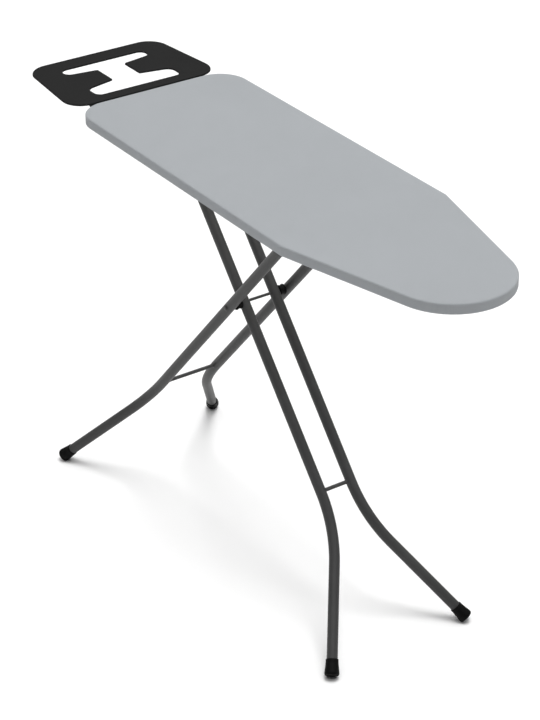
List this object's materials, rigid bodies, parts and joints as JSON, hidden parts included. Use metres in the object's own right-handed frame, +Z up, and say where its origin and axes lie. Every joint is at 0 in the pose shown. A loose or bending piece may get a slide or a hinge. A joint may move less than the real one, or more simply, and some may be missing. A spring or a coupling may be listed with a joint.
{
  "type": "ironing board",
  "caption": "Free-standing folding ironing board with a padded cotton-covered top, crossed tubular legs, a height catch under the top and a slotted metal iron rest.",
  "frame": {"origin": "on the floor, under the middle of the overall length and width", "axes": "+X from the iron rest towards the nose, +Y to the left facing the nose, +Z up"},
  "size_m": [1.368, 0.4302, 0.896],
  "materials": {
    "cotton_cover": "fine plain-woven cotton, light grey, matte",
    "felt_pad": "needled felt, off-white",
    "deck_steel": "perforated steel sheet, grey coating",
    "zinc_steel": "grey powder coating on pressed steel",
    "leg_coating": "dark grey powder coating, satin",
    "black_coating": "black heat-proof coating, satin",
    "bright_steel": "bright zinc-plated steel",
    "black_plastic": "moulded black polypropylene, matte"
  },
  "bodies": {
    "top": {"cover": "cotton_cover", "pad": "felt_pad", "mesh_deck": "deck_steel", "rim_tube": "zinc_steel", "cross_member_rear": "zinc_steel", "cross_member_hinge": "zinc_steel", "cross_member_middle": "zinc_steel", "cross_member_nose": "zinc_steel", "iron_rest": "black_coating", "rest_arm_left": "black_coating", "rest_arm_right": "black_coating", "rest_arm_screw_left": "bright_steel", "rest_arm_screw_right": "bright_steel", "rear_hinge_bracket": "zinc_steel", "rear_hinge_pin": "bright_steel", "rear_hinge_clip_left": "bright_steel", "rear_hinge_clip_right": "bright_steel", "runner_left": "zinc_steel", "runner_right": "zinc_steel", "catch_bracket": "zinc_steel", "catch_pin": "bright_steel", "catch_pin_clip": "bright_steel", "catch_spring": "bright_steel"},
    "height_catch": {"catch_plate": "zinc_steel", "catch_grip": "black_plastic"},
    "inner_legs": {"inner_leg_left": "leg_coating", "inner_leg_right": "leg_coating", "inner_foot_left": "black_plastic", "inner_foot_right": "black_plastic", "inner_leg_plug_left": "black_plastic", "inner_leg_plug_right": "black_plastic", "inner_crossbar": "leg_coating", "axle": "leg_coating", "axle_spacer_left": "black_plastic", "axle_spacer_right": "black_plastic", "axle_cap_left": "leg_coating", "axle_cap_right": "leg_coating"},
    "outer_legs": {"outer_leg_left": "leg_coating", "outer_leg_right": "leg_coating", "outer_foot_left": "black_plastic", "outer_foot_right": "black_plastic", "outer_leg_plug_left": "black_plastic", "outer_leg_plug_right": "black_plastic", "outer_crossbar": "leg_coating", "slide_bar": "bright_steel", "slide_glide_left": "black_plastic", "slide_glide_right": "black_plastic", "slide_bar_cap_left": "black_plastic", "slide_bar_cap_right": "black_plastic"}
  },
  "joints": [
    {"name": "leg_fold", "type": "hinge", "parent": "top", "child": "inner_legs", "pos_m": [-0.2785, 0, 0.857], "axis": [0, -1, 0], "range_deg": [0, 47.56]},
    {"name": "leg_cross", "type": "hinge", "parent": "inner_legs", "child": "outer_legs", "pos_m": [-0.03513, 0, 0.57831], "axis": [0, 1, 0], "range_deg": [0, 95.2]},
    {"name": "catch_lift", "type": "hinge", "parent": "top", "child": "height_catch", "pos_m": [0.495, -0.1, 0.868], "axis": [0, 1, 0], "range_deg": [0, 2], "stiffness_Nm_per_rad": 2, "springref_deg": -5.73}
  ],
  "couplings": [
    {"joint": "leg_cross", "follows": "leg_fold", "ratio": 2}
  ]
}
